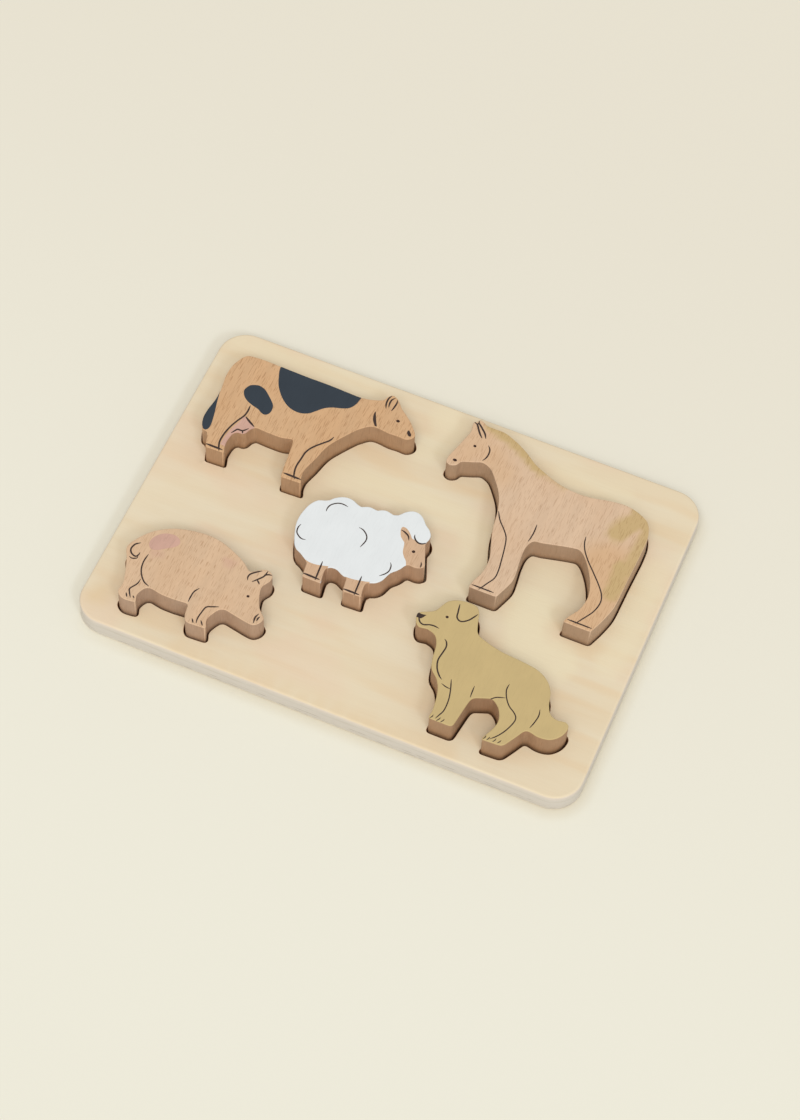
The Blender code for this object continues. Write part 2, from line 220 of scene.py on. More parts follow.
# Animals: the colour of the wood, what its walls multiply it by, how dark its flecks are and
# which stretch of the grain it is cut from, and then its marks.
COW = {
    "wood": (211, 172, 132),
    "walls": (216, 214, 219),
    "flecks": 0.72,
    "shift": (0.0, 0.0, 0.0),
    "lines": {
        1.02: [
            [(19.6, 15.5), (21.3, 18.5), (22.1, 19.4), (25.0, 19.7), (27.6, 22.5)],
            [(25.0, 19.5), (25.6, 18.0)],
            [(21.7, 37.5), (22.0, 33.4), (21.4, 29.3), (19.2, 24.5), (17.3, 19.0),
             (16.2, 13.2), (16.2, 7.1), (18.3, 1.6)],
            [(74.3, 37.2), (73.2, 34.1), (69.9, 30.3), (66.2, 25.9), (63.9, 21.2),
             (63.3, 15.6), (62.9, 9.4), (64.1, 4.0), (65.4, 1.6)],
            [(93.6, 67.8), (92.5, 70.8), (92.3, 74.5), (93.3, 77.3)],
            [(94.8, 69.1), (94.2, 71.9), (94.4, 74.7), (95.8, 76.7)],
            [(97.4, 75.9), (97.9, 74.0), (97.7, 70.8), (97.2, 67.5)],
        ],
        1.3: [
            [(22.5, 29.3), (26.0, 27.0), (29.9, 24.8)],
            [(9.5, 3.0), (20.0, 2.9)],
            [(58.0, 2.9), (69.0, 2.7)],
        ],
    },
    "eyes": [(103.4, 62.5, 1.1, 0.9)],
    "paint": {
        "slate_paint": [
            ([(1.0, 42.5), (2.0, 37.6), (3.6, 30.4), (5.0, 25.0), (6.0, 20.4), (6.7, 16.2),
              (6.5, 13.2), (5.2, 11.6), (3.6, 11.9), (2.4, 13.6), (0.6, 16.0)],
             [(-3.0, 16.0), (-3.0, 42.5)]),
            [(14.1, 45.2), (14.3, 47.6), (15.6, 50.2), (18.1, 51.7), (21.0, 52.3),
             (24.7, 51.2), (28.7, 48.0), (32.0, 44.8), (33.7, 42.5), (34.3, 39.0),
             (33.6, 36.4), (31.7, 35.0), (29.3, 35.5), (26.7, 37.0), (22.4, 38.2),
             (18.5, 39.9), (15.8, 42.1)],
            ([(26.2, 71.5), (26.7, 67.4), (27.7, 64.2), (30.3, 57.7), (34.0, 52.3),
              (38.4, 48.0), (43.5, 45.1), (49.3, 44.4), (54.2, 46.1), (57.6, 49.4),
              (60.9, 53.0), (65.1, 55.6), (70.0, 57.2), (74.2, 59.3), (76.6, 63.0),
              (77.6, 68.0), (77.9, 71.5)], [(78.0, 75.0), (26.2, 75.0)]),
        ],
        "print": [
            [(88.9, 63.4), (89.1, 59.8), (90.3, 56.7), (92.5, 54.1), (93.6, 54.2),
             (92.0, 57.3), (90.5, 60.4)],
            [(111.3, 58.9), (112.5, 58.5), (113.9, 56.9), (114.1, 55.6), (112.9, 55.4),
             (111.4, 56.9)],
        ],
        "pink_paint": [
            ([(17.1, 6.0), (17.3, 10.5), (17.7, 14.5), (18.8, 19.0), (20.5, 24.0),
              (21.8, 28.8), (23.6, 27.9), (26.4, 26.6), (29.8, 24.8)],
             [(31.5, 22.5), (27.0, 15.0), (21.6, 8.0), (20.4, 6.0)]),
        ],
    },
}
HORSE = {
    "wood": (218, 188, 159),
    "walls": (206, 201, 198),
    "flecks": 0.48,
    "shift": (11.3, 3.1, 7.7),
    "lines": {
        0.74: [
            [(40.3, 53.2), (43.3, 47.9), (47.9, 42.7), (50.9, 38.2), (52.6, 31.7),
             (54.0, 23.6), (55.0, 16.8), (54.9, 11.1), (52.4, 6.0), (49.5, 0.4)],
            [(63.5, 53.7), (63.8, 48.4), (63.5, 43.8), (63.0, 41.1)],
            [(91.6, 57.6), (92.4, 53.2), (94.5, 48.4), (98.5, 42.9), (103.6, 37.3),
             (109.9, 30.1), (113.5, 24.6), (114.4, 19.3), (112.9, 13.0), (109.4, 6.8),
             (106.5, 2.0)],
        ],
        0.88: [
            [(18.4, 92.3), (20.2, 89.7), (20.7, 86.5), (20.3, 83.7), (19.1, 81.2)],
            [(44.8, 2.0), (58.0, 2.0)],
            [(101.4, 2.8), (116.1, 2.7)],
        ],
        1.08: [
            [(5.0, 104.0), (6.6, 103.4), (7.6, 102.4), (9.2, 100.0), (10.9, 97.7),
             (13.1, 95.4)],
            [(7.2, 106.0), (7.6, 104.5), (8.8, 103.4), (10.9, 101.5), (13.5, 98.9),
             (15.2, 96.0)],
            [(7.1, 103.2), (7.5, 104.6)],
        ],
    },
    "eyes": [(11.4, 88.7, 0.9, 0.82), (4.6, 75.1, 1.28, 0.9)],
    "paint": {},
    "washes": {
        "olive": [
            (3.6, 2.8, 1.0, [(16.5, 106.0), (24.0, 104.0), (32.0, 101.2), (40.0, 97.2),
                             (47.0, 92.8), (52.5, 90.0)]),
            (1.6, 3.0, 0.5, [(52.5, 90.0), (60.0, 87.0), (68.0, 84.6)]),
            (4.6, 2.8, 0.95, [(107.0, 67.0), (109.0, 72.0), (112.5, 77.0)]),
            (2.8, 3.2, 0.95, [(113.0, 84.5), (118.5, 81.5), (122.3, 75.5), (123.4, 67.0)]),
            (2.6, 4.2, 0.9, [(123.0, 67.0), (122.0, 54.0), (120.6, 45.0)]),
            (3.4, 2.8, 0.95, [(117.0, 46.0), (118.4, 38.0), (118.0, 28.0)]),
        ],
        "warm": [
            (8.0, 15.0, 0.72, [(109.0, 44.0), (112.0, 34.0), (110.0, 20.0), (109.0, 3.0)]),
            (4.0, 8.0, 0.4, [(7.0, 80.0), (11.0, 92.0), (12.0, 101.0)]),
            (2.0, 14.0, 0.45, [(24.0, 86.0), (32.0, 77.0)]),
        ],
    },
}
SHEEP = {
    "wood": (211, 177, 146),
    "walls": (214, 206, 203),
    "flecks": 0.45,
    "shift": (23.9, 8.3, 2.1),
    "lines": {
        0.76: [
            [(12.4, 44.6), (12.2, 47.1), (13.2, 49.9), (16.1, 52.3), (19.2, 53.0),
             (22.5, 52.5)],
            [(3.0, 31.2), (2.4, 28.4), (3.0, 25.4), (5.0, 23.4), (7.2, 22.4), (9.6, 22.7)],
            [(33.6, 42.5), (36.7, 41.7), (39.7, 39.0), (40.5, 35.7), (39.3, 30.7)],
            [(58.7, 28.4), (59.9, 26.4), (60.2, 23.0), (58.9, 20.3), (56.4, 17.7)],
            [(74.2, 35.6), (74.9, 34.2), (75.2, 32.1)],
        ],
        0.98: [
            [(64.0, 50.9), (64.6, 49.2), (66.0, 47.6), (68.2, 46.6), (70.4, 47.1),
             (71.8, 48.4)],
            [(55.9, 50.7), (58.0, 50.2), (60.9, 48.6), (62.4, 46.0)],
            [(24.0, 13.6), (25.0, 0.6)],
            [(47.7, 13.6), (48.6, 0.6)],
        ],
        1.2: [
            [(16.9, 2.2), (27.2, 1.9)],
            [(41.4, 1.9), (51.2, 1.9)],
        ],
    },
    "eyes": [(67.7, 40.2, 0.98, 0.9)],
    "bare": [
        ([(13.0, 11.9), (14.9, 10.7), (17.2, 10.1), (19.8, 10.0), (22.6, 10.4), (25.3, 11.1),
          (28.2, 11.9)], [(28.2, -3.0), (13.0, -3.0)]),
        ([(38.0, 9.6), (40.0, 9.6), (42.0, 9.6), (44.8, 9.9), (48.0, 10.6), (50.8, 11.2),
          (53.2, 12.0)], [(53.2, -3.0), (38.0, -3.0)]),
        ([(67.6, 27.5), (67.2, 30.3), (66.0, 32.9), (64.0, 35.0), (62.3, 37.6), (61.5, 40.6),
          (60.7, 43.4), (59.0, 45.0), (57.2, 46.7), (56.0, 49.2), (55.4, 51.4), (55.9, 52.9),
          (57.7, 53.0), (60.1, 51.6), (62.2, 49.5), (63.6, 47.9), (65.4, 47.6), (67.0, 46.9),
          (69.0, 46.7), (71.4, 47.7), (74.0, 49.0)], [(82.0, 49.0), (82.0, 27.5)]),
    ],
    "paint": {"white_paint": "all"},
}
PIG = {
    "wood": (216, 184, 152),
    "walls": (209, 206, 213),
    "flecks": 0.6,
    "shift": (31.1, 5.9, 4.3),
    "lines": {
        0.82: [
            [(3.9, 26.1), (5.9, 25.6), (8.2, 26.7), (8.4, 28.1)],
            [(13.1, 31.7), (12.7, 26.8), (13.4, 22.1), (15.4, 18.0), (18.6, 14.5),
             (22.2, 12.9)],
            [(16.2, 15.2), (15.7, 11.7), (13.4, 7.5), (14.1, 5.3), (16.2, 2.1)],
            [(12.6, 4.2), (14.3, 1.7)],
            [(16.9, 3.9), (18.2, 2.7)],
            [(48.3, 23.2), (46.5, 19.9), (46.2, 16.2), (46.3, 12.7)],
            [(63.2, 16.7), (59.7, 15.2), (56.8, 13.6), (55.9, 9.7), (55.5, 5.3), (56.1, 2.1)],
            [(52.8, 4.0), (54.6, 1.5)],
            [(57.7, 4.8), (59.9, 2.1)],
        ],
        0.95: [
            [(6.1, 36.8), (3.5, 34.5), (2.7, 31.0), (4.3, 28.4), (7.1, 27.5), (8.2, 29.1),
             (8.3, 30.9)],
            [(70.3, 38.8), (69.6, 41.0), (70.2, 43.2), (72.5, 45.5), (75.2, 47.6)],
            [(73.0, 38.9), (75.4, 41.8), (77.6, 44.9), (78.3, 48.8)],
            [(77.4, 45.2), (79.2, 46.7), (81.4, 47.2)],
            [(75.0, 41.3), (77.4, 39.1)],
            [(84.7, 15.0), (84.1, 18.5), (85.0, 21.6)],
            [(85.7, 16.9), (85.8, 18.9), (86.4, 20.1)],
        ],
    },
    "eyes": [(74.9, 29.4, 0.85, 0.78)],
    "paint": {
        "pink_paint": [
            [(10.3, 38.6), (10.6, 42.0), (12.3, 45.0), (15.5, 47.7), (20.5, 49.0),
             (24.4, 47.8), (26.0, 45.0), (24.4, 42.0), (20.3, 39.0), (16.0, 36.0),
             (12.4, 35.6)],
        ],
    },
    "washes": {
        "pink": [
            (1.3, 2.2, 0.5, [(54.8, 45.2), (57.6, 45.0)]),
            (1.0, 3.0, 0.45, [(16.0, 33.5), (18.5, 34.5)]),
        ],
    },
}
DOG = {
    "wood": (206, 168, 130),
    "walls": (205, 200, 202),
    "flecks": 0.45,
    "shift": (43.7, 1.7, 9.5),
    "lines": {
        0.6: [
            [(31.6, 0.6), (32.4, 1.9), (32.6, 3.2)],
            [(35.4, 0.4), (36.4, 1.8), (36.8, 3.2)],
            [(37.7, 0.5), (38.7, 1.8), (39.1, 3.1)],
            [(62.7, 0.4), (63.3, 1.6), (63.5, 2.9)],
            [(64.6, 0.4), (65.3, 1.7), (65.7, 3.1)],
            [(67.9, 0.7), (68.8, 2.1), (69.1, 3.5)],
            [(70.6, 1.0), (71.5, 2.3), (72.0, 3.6)],
        ],
        0.72: [
            [(29.2, 22.8), (32.3, 21.8), (34.9, 21.6)],
            [(33.0, 27.5), (35.2, 21.0), (36.6, 14.8), (36.8, 8.1), (35.5, 4.2), (34.3, 1.3)],
            [(46.2, 28.7), (46.4, 24.6), (46.7, 21.0)],
            [(56.3, 24.6), (57.6, 25.2), (60.0, 27.1), (64.4, 28.7)],
            [(63.1, 37.6), (63.0, 33.5), (64.9, 28.9), (68.0, 24.8), (72.1, 21.9),
             (74.1, 19.1), (73.8, 15.3), (71.7, 9.6), (68.9, 5.0), (65.9, 1.7)],
            [(84.1, 29.7), (84.9, 25.6), (84.2, 20.6), (83.1, 16.7)],
        ],
        0.9: [
            [(1.2, 57.7), (3.0, 54.3), (5.6, 53.1), (9.3, 54.3)],
            [(6.6, 53.7), (10.9, 54.7), (14.7, 54.3)],
            [(19.2, 73.6), (20.2, 68.3), (20.9, 65.1), (22.8, 63.5), (25.0, 63.8),
             (27.7, 66.1), (29.5, 69.0), (30.8, 71.5)],
            [(20.0, 49.4), (21.4, 48.3), (22.5, 46.2), (22.7, 43.8), (22.3, 40.6),
             (21.8, 35.6), (23.3, 30.7), (25.9, 27.1), (28.3, 25.1)],
        ],
    },
    "eyes": [(15.9, 62.9, 0.9, 0.82)],
    "paint": {
        "print": [
            ([(-0.6, 60.0), (1.0, 59.2), (2.6, 59.0), (4.9, 59.4)],
             [(4.9, 59.2), (3.9, 57.3), (3.0, 56.1), (1.8, 56.0), (-0.8, 56.4)]),
        ],
        "tan_paint": "all",
    },
}
ANIMALS = {"cow": COW, "horse": HORSE, "sheep": SHEEP, "pig": PIG, "dog": DOG}


def loops_at(node, height, upright=False):
    """Return the closed loops that a node's edges make at one height."""
    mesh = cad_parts[node].data
    points = np.array([vertex.co for vertex in mesh.vertices]) / MM
    # Points closer than a tenth of NEAR count as one.
    keys = [tuple(int(round(value / NEAR * 10)) for value in point) for point in points]
    level = np.abs(points[:, 2] - height) < NEAR
    place = {}
    links = {}
    for face in mesh.polygons:
        if upright and abs(face.normal.z) > 0.5:
            continue
        corners = list(face.vertices)
        for a, b in zip(corners, corners[1:] + corners[:1]):
            if level[a] and level[b] and keys[a] != keys[b]:
                place[keys[a]], place[keys[b]] = points[a][:2], points[b][:2]
                links.setdefault(keys[a], set()).add(keys[b])
                links.setdefault(keys[b], set()).add(keys[a])
    loops = []
    left = set(links)
    while left:
        here = left.pop()
        loop = [here]
        while True:
            ahead = [key for key in links[here] if key in left]
            if not ahead:
                break
            here = ahead[0]
            left.discard(here)
            loop.append(here)
        loops.append(anticlockwise(np.array([place[key] for key in loop])))
    return loops


def anticlockwise(loop):
    """Return the loop running anticlockwise."""
    x, y = loop[:, 0], loop[:, 1]
    return loop if np.sum(x * np.roll(y, -1) - np.roll(x, -1) * y) > 0 else loop[::-1]


def smoothed(loop):
    """Round off a loop's chords, moving nothing that it already has.

    Each round puts a point by the middle of every chord, where the four-point rule puts it.
    """
    for _ in range(SMOOTH_ROUNDS):
        after = np.roll(loop, -1, axis=0)
        bulge = (loop + after - np.roll(loop, 1, axis=0) - np.roll(loop, -2, axis=0)) / 16
        size = np.maximum(np.linalg.norm(bulge, axis=1), 1e-9)
        bulge *= np.minimum(1.0, BULGE_LIMIT / size)[:, None]
        finer = np.empty((2 * len(loop), 2))
        finer[0::2] = loop
        finer[1::2] = (loop + after) / 2 + bulge
        loop = finer
    return loop


def resampled(loop, step):
    """Return the loop with a point every step along it."""
    closed = np.concatenate([loop, loop[:1]])
    along = np.concatenate([[0.0], np.cumsum(np.linalg.norm(np.diff(closed, axis=0), axis=1))])
    count = max(FEWEST_POINTS, int(along[-1] / step))
    stops = np.linspace(0.0, along[-1], count, endpoint=False)
    return np.stack([np.interp(stops, along, closed[:, k]) for k in (0, 1)], axis=1)


def distances(points, loop):
    """Return how far each point lies from a closed loop."""
    run = np.roll(loop, -1, axis=0) - loop
    square = np.maximum((run ** 2).sum(axis=1), 1e-12)
    result = []
    for part in np.array_split(points, max(1, len(points) // BATCH)):
        away = part[:, None, :] - loop
        share = np.clip((away * run).sum(axis=2) / square, 0.0, 1.0)
        result.append(np.linalg.norm(away - share[..., None] * run, axis=2).min(axis=1))
    return np.concatenate(result)


def inwards(loop, reach):
    """Return points reach inside an anticlockwise loop, where nothing else is nearer."""
    tangent = np.roll(loop, -1, axis=0) - np.roll(loop, 1, axis=0)
    tangent /= np.linalg.norm(tangent, axis=1)[:, None]
    moved = loop + np.stack([-tangent[:, 1], tangent[:, 0]], axis=1) * reach
    return moved[distances(moved, loop) > abs(reach) * CLEAR_SHARE]


def rounding_reaches(radius):
    """Return the distances from an edge at which its rounding gets points."""
    angles = np.linspace(0.0, math.pi / 2, ROUND_STEPS + 1)[1:]
    return [radius * (1 - math.cos(angle)) for angle in angles] + [radius * ROUND_PAST]


def drop(reach, radius):
    """Return how far a rounded edge lies under the flat face, reach inside the edge."""
    short = np.clip(radius - reach, 0.0, radius)
    return radius - np.sqrt(radius ** 2 - short ** 2)


def curve(points, closed=False):
    """Return a smooth curve through a few points."""
    points = np.array(points, dtype=float)
    count = len(points)
    if count == 2:
        return np.linspace(points[0], points[1], 2 * CURVE_STEPS)
    result = []
    for i in range(count if closed else count - 1):
        p1, p2 = points[i], points[(i + 1) % count]
        p0 = points[i - 1] if closed or i else 2 * p1 - p2
        p3 = points[(i + 2) % count] if closed or i + 2 < count else 2 * p2 - p1
        for step in range(CURVE_STEPS):
            t = step / CURVE_STEPS
            result.append(0.5 * (2 * p1 + (p2 - p0) * t + (2 * p0 - 5 * p1 + 4 * p2 - p3) * t ** 2
                                 + (3 * p1 - p0 - 3 * p2 + p3) * t ** 3))
    if not closed:
        result.append(points[-1])
    return np.array(result)


def stroke(points, width):
    """Return the outline of a pen stroke that thins towards both tips."""
    line = curve(points)
    steps = np.linalg.norm(np.diff(line, axis=0), axis=1)
    along = np.concatenate([[0.0], np.cumsum(steps)])
    width *= min(1.0, 0.5 + 0.5 * along[-1] / SHORT_LINE)
    taper = min(TAPER, along[-1] / 2)
    near_tip = np.clip(np.minimum(along, along[-1] - along) / taper, 0.0, 1.0)
    half = width / 2 * (TIP_SHARE + (1 - TIP_SHARE) * np.sin(near_tip * math.pi / 2))
    tangent = np.gradient(line, axis=0)
    tangent /= np.linalg.norm(tangent, axis=1)[:, None]
    side = np.stack([-tangent[:, 1], tangent[:, 0]], axis=1) * half[:, None]
    return np.concatenate([line - side, (line + side)[::-1]])


def patch(points):
    """Return a patch's outline, from a closed curve or from an edge and corners beyond it."""
    if isinstance(points, tuple):
        edge, corners = points
        return np.concatenate([curve(edge), corners])
    return curve(points, closed=True)


def oval(x, y, across, up):
    """Return the outline of an oval dot."""
    angles = np.linspace(0.0, 2 * math.pi, OVAL_POINTS, endpoint=False)
    return np.stack([x + across * np.cos(angles), y + up * np.sin(angles)], axis=1)


def grid(loop, step):
    """Return a field of points over a loop's extent, in staggered rows."""
    low, high = loop.min(axis=0), loop.max(axis=0)
    rows = []
    for row, y in enumerate(np.arange(low[1] + step / 3, high[1], step)):
        xs = np.arange(low[0] + step / 3 + (row % 2) * step / 2, high[0], step)
        rows.append(np.stack([xs, np.full(len(xs), y)], axis=1))
    return np.concatenate(rows)


def triangulated(faces, loose):
    """Return points, triangles and, for each triangle, the faces that it lies in."""
    points = [point for face in faces for point in face] + list(loose)
    corners = []
    for face in faces:
        first = corners[-1][-1] + 1 if corners else 0
        corners.append(list(range(first, first + len(face))))
    spots, _, triangles, _, _, owners = delaunay_2d_cdt(
        [Vector((float(x), float(y))) for x, y in points], [], corners, INSIDE_FACES,
        SAME_POINT)
    return np.array([tuple(spot) for spot in spots]), triangles, owners


def rim(triangles):
    """Return the directed edges that only one of the triangles has."""
    edges = {(a, b) for t in triangles for a, b in zip(t, t[1:] + t[:1])}
    return [(a, b) for a, b in edges if (b, a) not in edges]


def made(name, points, faces, body, material):
    """Make a piece from points in millimetres, riding on a body, and return the points used."""
    used = sorted({corner for face in faces for corner in face})
    index = {corner: i for i, corner in enumerate(used)}
    mesh = bpy.data.meshes.new(name)
    mesh.from_pydata([tuple(points[corner] * MM) for corner in used], [],
                     [[index[corner] for corner in face] for face in faces])
    mesh.materials.append(material)
    mesh.shade_smooth()
    mesh.set_sharp_from_angle(angle=math.radians(SHARP_ANGLE))
    thing = bpy.data.objects.new(name, mesh)
    bpy.context.scene.collection.objects.link(thing)
    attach(thing, body)
    return thing, used


def vertex_normals(points, faces):
    """Return the normal at each point of a closed set of faces."""
    normals = np.zeros_like(points)
    for face in faces:
        a, b, c = points[face[0]], points[face[1]], points[face[2]]
        area = np.cross(b - a, c - a)
        for corner in face:
            normals[corner] += area
    return normals / np.maximum(np.linalg.norm(normals, axis=1), 1e-12)[:, None]


def film(name, points, normals, triangles, body, material):
    """Make a closed paint film that lies on some triangles of a surface."""
    count = len(points)
    both = np.concatenate([points + normals * FILM, points - normals * FILM])
    faces = [list(t) for t in triangles]
    faces += [[c + count for c in reversed(t)] for t in triangles]
    faces += [[b, a, a + count, b + count] for a, b in rim(triangles)]
    made(name, both, faces, body, material)


def wash_strength(spots, washes):
    """Return how strongly the soft brush strokes colour each point."""
    result = np.zeros(len(spots))
    for radius, soft, strength, points in washes:
        path = curve(points)
        away = np.linalg.norm(spots[:, None, :] - path, axis=2).min(axis=1)
        share = np.clip((radius + soft - away) / soft, 0.0, 1.0)
        result = np.maximum(result, strength * share * share * (3 - 2 * share))
    return result


def store_washes(thing, washes, spots, used):
    """Store how strong the washes are at the points of a piece's top, which come first."""
    for wash, strokes in washes.items():
        strength = wash_strength(spots, strokes)
        stored = thing.data.attributes.new(wash, "FLOAT", "POINT")
        stored.data.foreach_set("value", [strength[c] if c < len(spots) else 0.0 for c in used])


def build_animal(name, marks):
    """Replace an animal's CAD node by finer wood, and lay its paint and lines on it."""
    low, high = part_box(name)
    corner = np.array(low)[:2] / MM
    bottom, top = low.z / MM, high.z / MM
    heights = sorted({round(v.co.z / MM, 2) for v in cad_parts[name].data.vertices})
    outline = max(loops_at(name, heights[1]), key=len)
    outline = resampled(smoothed(outline), OUTLINE_STEP) - corner
    shapes = [("rim", outline)]
    shapes += [("eye", oval(*dot)) for dot in marks["eyes"]]
    shapes += [("line", stroke(points, width)) for width, lines in marks["lines"].items()
               for points in lines]
    shapes += [("bare", patch(points)) for points in marks.get("bare", [])]
    whole = None
    for slot, patches in marks["paint"].items():
        if patches == "all":
            whole = slot
        else:
            shapes += [(slot, patch(points)) for points in patches]
    loose = [grid(outline, GRID_STEP)]
    loose += [inwards(outline, reach) for reach in rounding_reaches(ANIMAL_ROUND)]
    spots, triangles, owners = triangulated([anticlockwise(shape) for _, shape in shapes],
                                            np.concatenate(loose))
    kept, labels = [], []
    for triangle, inside in zip(triangles, owners):
        if 0 not in inside:
            continue
        kinds = [shapes[i][0] for i in inside if i]
        label = next((kind for kind in ("eye", "line", "bare") if kind in kinds), None)
        label = label or (kinds[0] if kinds else whole)
        kept.append(list(triangle))
        labels.append(label)
    sunk = drop(distances(spots, outline), ANIMAL_ROUND)
    place = spots + corner
    count = len(spots)
    points = np.concatenate([np.column_stack([place, top - sunk]),
                             np.column_stack([place, bottom + sunk])])
    faces = kept + [[c + count for c in reversed(t)] for t in kept]
    faces += [[b, a, a + count, b + count] for a, b in rim(kept)]
    wood = beech(name + "_beech", marks)
    thing, used = made(name + "_wood", points, faces, name, wood)
    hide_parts(name)
    store_washes(thing, marks.get("washes", {}), spots, used)
    normals = vertex_normals(points, faces)[:count]
    for label in sorted(set(labels) - {None, "bare"}):
        part, slot, finish = FINISHES.get(label, (label, label, label))
        chosen = [t for t, own in zip(kept, labels) if own == label]
        film(name + "_" + part, points[:count], normals, chosen, name, PAINTS[finish])


def build_board():
    """Replace the two CAD boards by one finer board with its windows."""
    lower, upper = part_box("board_backing"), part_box("board_sheet")
    floor, top = lower[1].z / MM, upper[1].z / MM
    loops = sorted(loops_at("board_sheet", upper[0].z / MM, upright=True),
                   key=lambda loop: -np.ptp(loop[:, 0]))
    loops = [resampled(smoothed(loop), OUTLINE_STEP) for loop in loops]
    outer, windows = loops[0], loops[1:]
    loose = [grid(outer, 2 * GRID_STEP)]
    loose += [inwards(outer, reach) for reach in rounding_reaches(BOARD_ROUND)]
    for window in windows:
        loose += [inwards(window, -reach) for reach in rounding_reaches(RIM_ROUND)]
    spots, triangles, owners = triangulated(loops, np.concatenate(loose))
    edge = distances(spots, outer)
    window_edge = np.min([distances(spots, window) for window in windows], axis=0)
    count = len(spots)
    sunk = drop(edge, BOARD_ROUND)
    points = np.concatenate([
        np.column_stack([spots, top - sunk - drop(window_edge, RIM_ROUND)]),
        np.column_stack([spots, np.full(count, floor)]),
        np.column_stack([spots, sunk]),
    ])
    plate = [list(t) for t, own in zip(triangles, owners) if 0 in own]
    open_parts = [list(t) for t, own in zip(triangles, owners) if 0 in own and len(own) > 1]
    solid_parts = [list(t) for t, own in zip(triangles, owners) if 0 in own and len(own) == 1]
    faces = list(solid_parts)
    faces += [[c + count for c in t] for t in open_parts]
    faces += [[c + 2 * count for c in reversed(t)] for t in plate]
    faces += [[b, a, a + 2 * count, b + 2 * count] for a, b in rim(plate)]
    plain = len(faces)
    faces += [[a, b, b + count, a + count] for a, b in rim(open_parts)]
    thing, used = made("board_wood", points, faces, "board", plywood())
    store_washes(thing, BOARD_STREAKS_AND_LIGHT, spots, used)
    # The band along the windows' rims on the top is cutter browning and also painted shade that
    # darkens the gaps round the animals; the windows' walls are browned all over.
    scorch_and_gap_shade = thing.data.attributes.new("scorch_and_gap_shade", "FLOAT", "FACE")
    by_window = [RIM_SCORCH_AND_SHADE_SHARE if window_edge[face].mean() < RIM_SCORCH_AND_SHADE else 0.0
                 for face in solid_parts]
    by_window += [0.0] * (plain - len(solid_parts))
    scorch_and_gap_shade.data.foreach_set("value", by_window + [1.0] * (len(faces) - plain))
    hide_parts("board_backing", "board_sheet")


def linear(colour):
    """Return a colour given as 0 to 255 per channel, for a shader."""
    shares = [channel / 255 for channel in colour]
    return tuple(s / 12.92 if s <= 0.04045 else ((s + 0.055) / 1.055) ** 2.4 for s in shares) + (1,)


class Graph:
    """A material's nodes, added one by one."""

    def __init__(self, name, roughness, specular=0.35):
        self.material = bpy.data.materials.new(name)
        self.material.use_nodes = True
        self.tree = self.material.node_tree
        self.shader = self.tree.nodes["Principled BSDF"]
        self.shader.inputs["Roughness"].default_value = roughness
        self.shader.inputs["Specular IOR Level"].default_value = specular
        self.place = self.node("ShaderNodeTexCoord")

    def node(self, kind, **settings):
        """Add a node with some of its properties set."""
        made_node = self.tree.nodes.new(kind)
        for key, value in settings.items():
            setattr(made_node, key, value)
        return made_node

    def feed(self, socket, value):
        """Link a socket to another, or set its value."""
        if hasattr(value, "links"):
            self.tree.links.new(value, socket)
        else:
            socket.default_value = value

    def maths(self, operation, *values):
        """Return the result of a sum on numbers."""
        made_node = self.node("ShaderNodeMath", operation=operation)
        for socket, value in zip(made_node.inputs, values):
            self.feed(socket, value)
        return made_node.outputs[0]

    def noise(self, size, shift, detail):
        """Return noise whose grains have a size in millimetres along each axis."""
        mapping = self.node("ShaderNodeMapping")
        self.feed(mapping.inputs["Vector"], self.place.outputs["Object"])
        mapping.inputs["Scale"].default_value = [1 / (length * MM) for length in size]
        mapping.inputs["Location"].default_value = shift
        texture = self.node("ShaderNodeTexNoise")
        self.feed(texture.inputs["Vector"], mapping.outputs[0])
        texture.inputs["Scale"].default_value = 1.0
        texture.inputs["Detail"].default_value = detail
        return texture.outputs["Fac"]

    def between(self, value, low, high, to_low=0.0, to_high=1.0):
        """Return to_low to to_high, as a value goes from one bound to the other, eased at both."""
        made_node = self.node("ShaderNodeMapRange", interpolation_type="SMOOTHSTEP")
        for socket, number in zip(made_node.inputs, (value, low, high, to_low, to_high)):
            self.feed(socket, number)
        return made_node.outputs[0]

    def mix(self, share, a, b, blend="MIX"):
        """Return two colours mixed."""
        made_node = self.node("ShaderNodeMix", data_type="RGBA", blend_type=blend)
        for index, value in zip(MIX_INPUTS, (share, a, b)):
            self.feed(made_node.inputs[index], value)
        return made_node.outputs[MIX_RESULT]

    def tinted(self, colour, tint):
        """Return a colour multiplied by a tint."""
        return self.mix(1.0, colour, linear(tint), "MULTIPLY")

    def split(self, vector, axis):
        """Return one part of a vector."""
        made_node = self.node("ShaderNodeSeparateXYZ")
        self.feed(made_node.inputs[0], vector)
        return made_node.outputs[axis]

    def attribute(self, name):
        """Return a number stored on the mesh."""
        return self.node("ShaderNodeAttribute", attribute_name=name).outputs["Fac"]

    def finish(self, colour, height=None, depth=0.0):
        """Set the colour and the bump, and return the material."""
        self.feed(self.shader.inputs["Base Color"], colour)
        if height is not None:
            bump = self.node("ShaderNodeBump")
            bump.inputs["Distance"].default_value = depth * MM
            self.feed(bump.inputs["Height"], height)
            self.feed(self.shader.inputs["Normal"], bump.outputs[0])
        return self.material


def shaded(colour, share):
    """Return a colour with every channel scaled."""
    return tuple(channel * share for channel in colour)


def beech_grain(graph, shift):
    """Return beech's short dark flecks, its pale streaks and its fine fibres."""
    flecks = graph.between(graph.noise((0.37, 5.4, 6.0), shift, 0.0), 0.63, 0.69)
    pale = graph.noise((0.6, 5.0, 6.0), [part + 5.3 for part in shift], 0.0)
    fibres = graph.noise((0.4, 9.0, 12.0), shift, 2.0)
    return flecks, graph.between(pale, 0.58, 0.70), fibres


